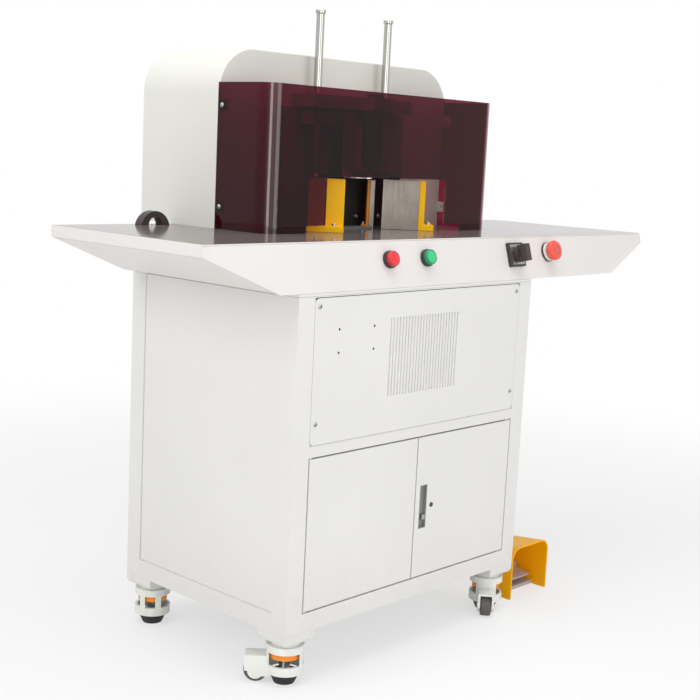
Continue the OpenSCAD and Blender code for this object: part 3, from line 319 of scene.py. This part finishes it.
def turned(bm, profile, matrix=Matrix(), steps=48):
    """Adds a lathe shape: (radius, height) points spun about the local z axis, placed by matrix."""
    verts = [bm.verts.new((radius, 0, height)) for radius, height in profile]
    edges = [bm.edges.new(pair) for pair in zip(verts, verts[1:])]
    bmesh.ops.spin(bm, geom=verts + edges, cent=(0, 0, 0), axis=(0, 0, 1), angle=2 * math.pi,
                   steps=steps, use_merge=True)
    form = linked(verts)
    bmesh.ops.remove_doubles(bm, verts=form, dist=1e-6)
    bmesh.ops.transform(bm, matrix=matrix, verts=linked([vert for vert in form if vert.is_valid][:1]))
    return bm


def piece(name, bm, finishes, body, replaces=(), slot=None, crease=42, normals=False, paint=None):
    """Makes a finished object that rides on a CAD body; paint picks a finish by a face's centre and normal."""
    if normals:
        bmesh.ops.recalc_face_normals(bm, faces=bm.faces)
    bm.normal_update()
    for face in bm.faces:
        face.smooth = True
        if paint:
            face.material_index = paint(face.calc_center_median(), face.normal)
    mesh = bpy.data.meshes.new(name)
    bm.to_mesh(mesh)
    bm.free()
    mesh.set_sharp_from_angle(angle=math.radians(crease))
    for finish in finishes if isinstance(finishes, (list, tuple)) else [finishes]:
        mesh.materials.append(finish)
    made = bpy.data.objects.new(name, mesh)
    bpy.context.scene.collection.objects.link(made)
    even = made.modifiers.new("even_shading", "WEIGHTED_NORMAL")
    even.keep_sharp = True
    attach(made, body)
    if replaces:
        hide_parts(*replaces)
    return made


def stands_for(node, bm, finishes, **more):
    """A finished piece in place of a CAD node, on its body."""
    return piece(node + "_finished", bm, finishes, BODY_OF[node], replaces=[node], slot=SLOT_OF[node], **more)


def softened_node(node, width, finishes, segments=2, edges=None, **more):
    """A CAD node with rounded edges; edges picks them by their two faces and middle."""
    bm = merged_copy(node)
    hard = hard_edges(bm)
    if edges:
        bm.normal_update()
        hard = [e for e in hard if edges(e, (e.verts[0].co + e.verts[1].co) / 2)]
    soften(bm, width, segments, hard)
    return stands_for(node, bm, finishes, **more)


# Sheet metal and castings that keep their CAD shape, with rounded edges
for node, width, finish in (
        ("corner_posts", 0.0022, cabinet_white), ("cabinet_rails", 0.0016, cabinet_white),
        ("cabinet_top", 0.0016, cabinet_white),
        ("door_left", 0.0014, cabinet_white), ("door_right", 0.0014, cabinet_white),
        ("access_panel", 0.0006, cabinet_white), ("front_panel", 0.0012, table_white),
        ("back_apron", 0.001, table_white), ("housing_back", 0.0008, housing_white),
        ("back_panel", 0.0008, cabinet_white),
        ("crosshead", 0.0015, head_grey),
        ("side_handle", 0.003, brown_black), ("fences", 0.0006, ground_steel),
        ("guide_rods", 0.001, chrome), ("rod_bushes", 0.0005, bronze), ("presser_foot", 0.0008, ground_steel),
        ("presser_cylinder", 0.001, ground_steel), ("cutting_block", 0.0006, grey_plastic),
        ("switch_knob", 0.0016, brown_black),
        ("pedal_base", 0.0015, cast_grey), ("caster_mounts", 0.0012, cabinet_white)):
    softened_node(node, width, finish)

for node, finish in (
        ("cabinet_floor", inner_grey), ("cabinet_shelf", inner_grey), ("subframe", table_white),
        ("knife", edge_steel), ("piston_rod", chrome), ("ram_cylinder", dark_iron), ("pump_motor", motor_blue),
        ("oil_tank", dark_iron), ("pressure_pipe", ground_steel)):
    NODES[node].data.materials.clear()
    NODES[node].data.materials.append(finish)

# Side panels: only the outer face has soft edges
OUTER = max(abs(corner[0] - CABINET_X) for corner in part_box("side_panels")) - 0.0005
softened_node("side_panels", 0.0012, cabinet_white, edges=lambda edge, middle: abs(middle.x - CABINET_X) > OUTER)

# Head: painted casting above; the skirt plates behind the station, all but the leftmost, take the dark iron finish
# as painted shade for the deep shadow under the head
bm = merged_copy("head_block")
soften(bm, 0.0015)
SKIRT_TOP, PAINTED_SHADE_FROM_X = TABLE_Z + 0.106, STATION_X - 0.084
for border, way in (((0, 0, SKIRT_TOP), (0, 0, 1)), ((PAINTED_SHADE_FROM_X, 0, 0), (1, 0, 0))):
    bmesh.ops.bisect_plane(bm, geom=bm.verts[:] + bm.edges[:] + bm.faces[:], plane_co=border, plane_no=way)
stands_for("head_block", bm, [dark_iron, head_grey],
           paint=lambda centre, normal: int(centre.z > SKIRT_TOP or centre.x < PAINTED_SHADE_FROM_X))

# Table sheet: polished on top, painted lips at its ends
softened_node("table_top", 0.0012, [table_white, table_plate],
              paint=lambda centre, normal: int(normal.z > 0.9 and centre.z > TABLE_Z - 0.0005))

# Housing: soft front rim on the bent sheet, screw lugs just clear of the guard
SHELL_MIDDLE = TABLE_Z + 0.16
LUG_FACE, LUG_CLEARANCE = 0.3195, 0.0005


def outer_front_rim(edge, middle):
    """True for front edges on the outside of the bent sheet."""
    outward = middle - Vector((STATION_X, middle.y, SHELL_MIDDLE))
    return middle.y < HOUSING_FRONT + 0.0005 and any(face.normal.dot(outward) > 0.02 for face in edge.link_faces)


softened_node("housing_shell", 0.0024, housing_white, 3, edges=outer_front_rim)
bm = merged_copy("housing_front")
for vert in bm.verts:
    if vert.co.y < HOUSING_FRONT - 0.001 and abs(vert.co.x - STATION_X) > LUG_FACE:
        vert.co.x -= math.copysign(LUG_CLEARANCE, vert.co.x - STATION_X)
soften(bm, 0.0006, edges=[e for e in hard_edges(bm) if max(v.co.y for v in e.verts) < HOUSING_FRONT - 0.001])
stands_for("housing_front", bm, housing_white)


def guard_finish(centre, normal):
    """Cut edges of the sheet catch the light."""
    in_front_sheet = centre.y < GUARD_FRONT + 0.0052 and abs(centre.x - STATION_X) < 0.25
    cut_side = abs(normal.x) > 0.8 and in_front_sheet
    return int(abs(normal.z) > 0.6 or cut_side)


softened_node("guard", 0.0005, [acrylic, acrylic_edge], paint=guard_finish)

# Station: orange guide brackets, yellow fence brackets with their bolts
softened_node("station_brackets", 0.001, [bracket_yellow, guide_orange],
              paint=lambda centre, normal: int(abs(centre.x - STATION_X) < 0.1 and centre.y > 0))
# The bolt's profile: (radius, height)
HEAD = [(0, 0.0034), (0.0024, 0.0034), (0.0024, 0.0052), (0.0037, 0.0052), (0.0042, 0.0047), (0.0042, -0.0004),
        (0, -0.0004)]
BOLT_STEPS = 24
DIAGONAL = math.sqrt(0.5)
bm = bmesh.new()
for side in (-1, 1):
    for along, across in ((0.177, 0.018), (0.177, 0.052)):
        x, y = (along + across) * DIAGONAL, HOUSING_FRONT - 0.014 + (across - along) * DIAGONAL
        turned(bm, HEAD, Matrix.Translation((STATION_X + side * x, y, TABLE_Z + 0.012)), BOLT_STEPS)
    guide = Matrix.Translation((STATION_X + side * 0.0569, HOUSING_FRONT - 0.0204, TABLE_Z + 0.006))
    turned(bm, HEAD, guide, BOLT_STEPS)
    for x in (0.046, 0.112):
        skirt = Matrix.Translation((STATION_X + side * x, HOUSING_FRONT - 0.007, 0.802))
        turned(bm, HEAD, skirt @ FACING_FRONT, BOLT_STEPS)
piece("station_bolts", bm, screw_steel, "machine", slot="steel", normals=True)

# Cross-headed screws of the front cover and the guard
SCREW = [(0, 0.0024), (0.0018, 0.0023), (0.0034, 0.0018), (0.0043, 0.0009), (0.0045, 0), (0.0025, 0),
         (0.0025, -0.005), (0, -0.005)]
bm = bmesh.new()
COVER_SCREWS = ((-0.4047, 0.470, 0.3), (-0.4047, 0.673, 1.1), (0.1507, 0.470, 0.7), (0.1507, 0.673, 0.1))
places = [Matrix.Translation((x, CABINET_FRONT, z)) @ FACING_FRONT @ Matrix.Rotation(turn, 4, "Z")
          for x, z, turn in COVER_SCREWS]
for z, turn in ((0.821, 0.4), (1.005, 0.9)):
    for x, way in ((-0.377, -1), (0.273, 1)):
        sideways = Matrix.Rotation(way * math.pi / 2, 4, "Y")
        places.append(Matrix.Translation((x, HOUSING_FRONT - 0.011, z)) @ sideways @ Matrix.Rotation(turn, 4, "Z"))
for place in places:
    turned(bm, SCREW, place, 28)
    for length, width in ((0.0023, 0.0004), (0.0004, 0.0023)):
        recess = block(bm, (-length, -width, 0.0012), (length, width, 0.00246))
        bmesh.ops.transform(bm, matrix=place, verts=recess)
        for face in {face for vert in recess for face in vert.link_faces}:
            face.material_index = 1
stands_for("cover_screws", bm, [screw_steel, black_plastic], normals=True)

# Filter mesh behind the louvres
bm = bmesh.new()
block(bm, (-0.232, CABINET_FRONT + 0.0023, 0.495), (-0.022, CABINET_FRONT + 0.0029, 0.647))
soften(bm, 0.0002, 1)
piece("vent_screen", bm, vent_mesh, "machine", slot="steel")

# Stepped strips that close the gaps above and below the front cover
STRIP_LEFT, STRIP_LENGTH = -0.4185, 0.583
COVER_MIDDLE = 0.5
bm = bmesh.new()
for z, way, lip in ((0.6901, -1, 0.0017), (0.4299, 1, 0.0022)):
    section = [bm.verts.new((STRIP_LEFT, CABINET_FRONT + depth, z + way * rise)) for depth, rise in (
        (0.0007, 0), (0.0007, lip), (0.003, lip), (0.003, 0.010), (0.009, 0.010), (0.009, 0))]
    grown = bmesh.ops.extrude_face_region(bm, geom=[bm.faces.new(section)])["geom"]
    far_end = [part for part in grown if isinstance(part, bmesh.types.BMVert)]
    bmesh.ops.translate(bm, vec=(STRIP_LENGTH, 0, 0), verts=far_end)
piece("cover_strips", bm, [cabinet_white, grey_plastic], "machine", slot="grey_sheet", normals=True,
      paint=lambda centre, normal: int(centre.z > COVER_MIDDLE and centre.y > CABINET_FRONT + 0.0014))

# Recessed door pull with its bright catch, and the lock with a key slot
CATCH_X, CATCH_Z, CATCH_BACK = (-0.1034, -0.0938), (0.2458, 0.2562), CABINET_FRONT + 0.0067
softened_node("door_pull", 0.0004, [pull_grey, screw_steel], paint=lambda centre, normal: int(
    CATCH_X[0] < centre.x < CATCH_X[1] and CATCH_Z[0] < centre.z < CATCH_Z[1] and centre.y < CATCH_BACK))
bm = merged_copy("door_lock")
soften(bm, 0.0009)
slot_verts = block(bm, (-0.0791, CABINET_FRONT - 0.0011, 0.2697), (-0.0779, CABINET_FRONT + 0.0002, 0.2753))
for face in {face for vert in slot_verts for face in vert.link_faces}:
    face.material_index = 1
stands_for("door_lock", bm, [black_plastic, mark_grey])


def on_panel(x, drop):
    """Place on the sloped control panel, local z outward."""
    return PANEL @ Matrix.Translation((x, 0, -drop)) @ FACING_FRONT


# Push buttons: a lens inside a darker rim, running clear of the bezel's bore
softened_node("button_bezels", 0.0008, black_plastic, edges=lambda edge, middle: edge.is_convex)
CAP = [(0, -0.008), (0.005, -0.008), (0.005, 0.0053), (0.014, 0.0053), (0.014, 0.0132), (0.0135, 0.0148),
       (0.0126, 0.0155), (0.0117, 0.0152), (0.0112, 0.0148), (0.0095, 0.0153), (0.005, 0.0158), (0, 0.016)]
LENS_R = 0.0114
for node, x, finishes in (("red_button", -0.221, [red_lens, red_rim]),
                          ("green_button", -0.118, [green_lens, green_rim])):
    place = on_panel(x, 0.0365)
    back = place.inverted()
    stands_for(node, turned(bmesh.new(), CAP, place), finishes, normals=True,
               paint=lambda centre, normal, back=back: int((back @ centre).xy.length > LENS_R))

# Main switch: face plate inside a dark border
bm = bmesh.new()
place = on_panel(0.156, 0.038)
block(bm, (-0.024, -0.024, 0), (0.024, 0.024, 0.008))
rim = [e for e in hard_edges(bm) if max(v.co.z for v in e.verts) > 0.004]
soften(bm, 0.0016, 3, rim)
front = [f for f in bm.faces if f.normal.z > 0.99]
bmesh.ops.inset_region(bm, faces=front, thickness=0.0026, depth=0)
bmesh.ops.inset_region(bm, faces=front, thickness=0.0006, depth=-0.0005)
for face in front:
    face.material_index = 1
block(bm, (-0.02, -0.02, -0.047), (0.02, 0.02, 0))
bmesh.ops.transform(bm, matrix=place, verts=bm.verts)
stands_for("switch_plate", bm, [black_plastic, plate_grey])

# Emergency stop: black base, pale collar, domed head with turning arrows
COLLAR_R = 0.0187
place = on_panel(0.270, 0.035)
back = place.inverted()
softened_node("estop_collar", 0.0009, [pale_plastic, black_plastic], paint=lambda centre, normal: int(
    (back @ centre).xy.length > COLLAR_R or (back @ centre).z < 0.0005))
DOME = [(0, -0.008), (0.007, -0.008), (0.007, 0.013), (0.0170, 0.013), (0.0190, 0.0137), (0.0202, 0.0156),
        (0.0205, 0.0178), (0.0205, 0.0200), (0.0200, 0.0222), (0.0188, 0.0240), (0.0166, 0.0252),
        (0.0130, 0.0257), (0.009, 0.0258), (0, 0.0258)]
stands_for("estop_head", turned(bmesh.new(), DOME, place, 64), stop_red, normals=True)
ARROW_SECTION = ((0.0066, 0.0254), (0.0090, 0.0254), (0.0090, 0.02595), (0.0066, 0.02595))
ARROW_TIP = Matrix.Rotation(math.radians(70), 4, "Z") @ Matrix.Translation((0.0078, 0, 0.0257))
bm = bmesh.new()
for turn in (0.2, 0.2 + 2 * math.pi / 3, 0.2 + 4 * math.pi / 3):
    section = [bm.verts.new((radius, 0, height)) for radius, height in ARROW_SECTION]
    bmesh.ops.spin(bm, geom=section + [bm.faces.new(section)], cent=(0, 0, 0), axis=(0, 0, 1),
                   angle=math.radians(62), steps=9)
    tip = bmesh.ops.create_cone(bm, cap_ends=True, segments=3, radius1=0.0028, radius2=0.0028, depth=0.0005,
                                matrix=ARROW_TIP)
    bmesh.ops.transform(bm, matrix=Matrix.Rotation(turn, 4, "Z"), verts=linked(section + tip["verts"]))
bmesh.ops.transform(bm, matrix=place, verts=bm.verts)
piece("estop_arrows", bm, mark_grey, "emergency_stop", slot="grey_plastic", normals=True)

# Foot switch: rolled hood rim, ribbed treadle
RIB_PITCH = 0.008
bm = merged_copy("pedal_hood")
soften(bm, 0.0018, 4, [e for e in hard_edges(bm) if max(v.co.y for v in e.verts) < PEDAL_FRONT + 0.0005])
soften(bm, 0.0014, 2, [e for e in hard_edges(bm, 50) if min(v.co.y for v in e.verts) > PEDAL_FRONT + 0.09])
stands_for("pedal_hood", bm, hood_yellow)
bm = merged_copy("pedal_treadle")
soften(bm, 0.0009)
bmesh.ops.transform(bm, matrix=PEDAL_PIVOT.inverted(), verts=bm.verts)
for row in range(5):
    rib = block(bm, (-0.044, -0.048 + RIB_PITCH * row, 0.0016), (0.044, -0.0455 + RIB_PITCH * row, 0.0029))
    soften(bm, 0.0005, 2, list({edge for vert in rib for edge in vert.link_edges}))
bmesh.ops.transform(bm, matrix=PEDAL_PIVOT, verts=bm.verts)
stands_for("pedal_treadle", bm, cast_grey)

# Casters: rounded frames, tyres on pale hubs, levelling feet with their thumb rings
HALF_TYRE = [(0.0041, -0.009), (0.0090, -0.009), (0.0102, -0.0082), (0.0126, -0.0082), (0.0136, -0.0100),
             (0.0146, -0.0110), (0.0190, -0.0110), (0.0211, -0.0094), (0.0220, -0.0066)]
TYRE = HALF_TYRE + [(radius, -side) for radius, side in reversed(HALF_TYRE)] + HALF_TYRE[:1]
WHEEL_R, HUB_R, TRAIL = 0.022, 0.0137, 0.0505
RING_LOW, RING_HIGH, RING_INSIDE, RIB_RISE = 0.047, 0.057, 0.025, 0.0007
PAD_TOP, STEM_R = 0.0185, 0.0105
for corner, (x, y, heading) in CORNERS.items():
    softened_node("caster_frame_" + corner, 0.0012, caster_white)
    ahead = Vector((math.cos(math.radians(heading)), math.sin(math.radians(heading)), 0))
    place = (Matrix.Translation(Vector((x, y, WHEEL_R)) + TRAIL * ahead)
             @ Matrix.Rotation(math.radians(heading), 4, "Z") @ Matrix.Rotation(-math.pi / 2, 4, "X"))
    back = place.inverted()
    stands_for("caster_wheel_" + corner, turned(bmesh.new(), TYRE, place), [tyre_grey, hub_white], normals=True,
               paint=lambda centre, normal, back=back: int((back @ centre).xy.length < HUB_R))
    bm = merged_copy("caster_foot_" + corner)
    axis = Vector((x, y))
    around = [f for f in bm.faces if abs(f.normal.z) < 0.1 and RING_LOW < f.calc_center_median().z < RING_HIGH
              and (f.calc_center_median().xy - axis).length > RING_INSIDE]
    around.sort(key=lambda f: math.atan2(f.calc_center_median().y - y, f.calc_center_median().x - x))
    for face in bmesh.ops.extrude_discrete_faces(bm, faces=around[::2])["faces"]:
        bmesh.ops.translate(bm, vec=RIB_RISE * face.normal, verts=face.verts)
    stands_for("caster_foot_" + corner, bm, [pad_rubber, ring_orange, screw_steel],
               paint=lambda centre, normal, axis=axis: (
                   0 if centre.z < PAD_TOP else 1 if (centre.xy - axis).length > STEM_R else 2))

# Floor, light and camera
def seen_directly(finish):
    """One for rays from the camera, off gloss or through the guard, which see a white room."""
    camera_ray, gloss, through = (finish.node("ShaderNodeLightPath", output=ray + " Ray")
                                  for ray in ("Is Camera", "Is Glossy", "Is Transmission"))
    return camera_ray + gloss + through


floor_finish = Finish("pale_floor", Base_Color=(0.86, 0.86, 0.86, 1), Roughness=0.9)
reach = floor_finish.node("ShaderNodeVectorMath", {"operation": "LENGTH"}, {0: floor_finish.place},
                          output="Value")
white = floor_finish.node("ShaderNodeEmission")
blank = seen_directly(floor_finish) * (0.6 + 0.4 * floor_finish.step(reach, 0.9, 2.6))
floor_finish.node("ShaderNodeOutputMaterial", {"is_active_output": True}, {0: floor_finish.node(
    "ShaderNodeMixShader", {}, {0: blank, 1: Tone(floor_finish, floor_finish.shader.outputs[0]), 2: white})})
bm = bmesh.new()
bmesh.ops.create_grid(bm, x_segments=1, y_segments=1, size=30)
floor_mesh = bpy.data.meshes.new("floor")
bm.to_mesh(floor_mesh)
bm.free()
floor_mesh.materials.append(floor_finish.material)
floor = bpy.data.objects.new("floor", floor_mesh)
bpy.context.scene.collection.objects.link(floor)


class Room(Finish):
    """The world's own nodes."""

    def __init__(self, world):
        world.use_nodes = True
        self.tree = world.node_tree
        self.tree.nodes.clear()


world = bpy.data.worlds.new("studio")
bpy.context.scene.world = world
room = Room(world)
light = room.node("ShaderNodeBackground", {}, {"Color": (1, 1, 1, 1), "Strength": 0.56})
wall = room.node("ShaderNodeBackground", {}, {"Color": (1, 1, 1, 1), "Strength": 1.0})
room.node("ShaderNodeOutputWorld", {}, {0: room.node(
    "ShaderNodeMixShader", {}, {0: seen_directly(room), 1: light, 2: wall})})


def softbox(name, place, target, width, height, power):
    """Adds a rectangular area lamp that faces its target."""
    lamp = bpy.data.lights.new(name, "AREA")
    lamp.shape = "RECTANGLE"
    lamp.size, lamp.size_y = width, height
    lamp.energy = power
    holder = bpy.data.objects.new(name, lamp)
    holder.location = place
    holder.rotation_mode = "QUATERNION"
    holder.rotation_quaternion = (Vector(target) - Vector(place)).to_track_quat("-Z", "Y")
    holder.visible_camera = False
    bpy.context.scene.collection.objects.link(holder)


softbox("overhead", (-0.3, -0.4, 3.0), (0, 0, 0.6), 2.4, 2.0, 32)
softbox("beside_camera", (-2.36, -2.45, 1.0), (0, 0, 0.7), 0.8, 1.7, 16)
softbox("front", (0.1, -3.2, 1.3), (0, 0, 0.8), 1.4, 2.0, 16)
softbox("left", (-2.9, 0.3, 2.3), (0, 0, 0.6), 1.5, 1.2, 24)

camera = bpy.data.objects.new("camera", bpy.data.cameras.new("camera"))
camera.data.lens = 65.341
camera.data.sensor_width = 36.0
azimuth, elevation, roll = math.radians(-46.943), math.radians(8.970), math.radians(2.777)
ahead = Vector((-math.sin(azimuth) * math.cos(elevation), math.cos(azimuth) * math.cos(elevation),
                -math.sin(elevation)))
side = Vector((math.cos(azimuth), math.sin(azimuth), 0))
upward = side.cross(ahead)
turned_side = math.cos(roll) * side + math.sin(roll) * upward
turned_up = math.cos(roll) * upward - math.sin(roll) * side
camera.matrix_world = Matrix((
    (turned_side.x, turned_up.x, -ahead.x, CAMERA_AT[0]),
    (turned_side.y, turned_up.y, -ahead.y, CAMERA_AT[1]),
    (turned_side.z, turned_up.z, -ahead.z, CAMERA_AT[2]),
    (0, 0, 0, 1)))
bpy.context.scene.collection.objects.link(camera)
bpy.context.scene.camera = camera
bpy.context.scene.view_settings.view_transform = "Standard"
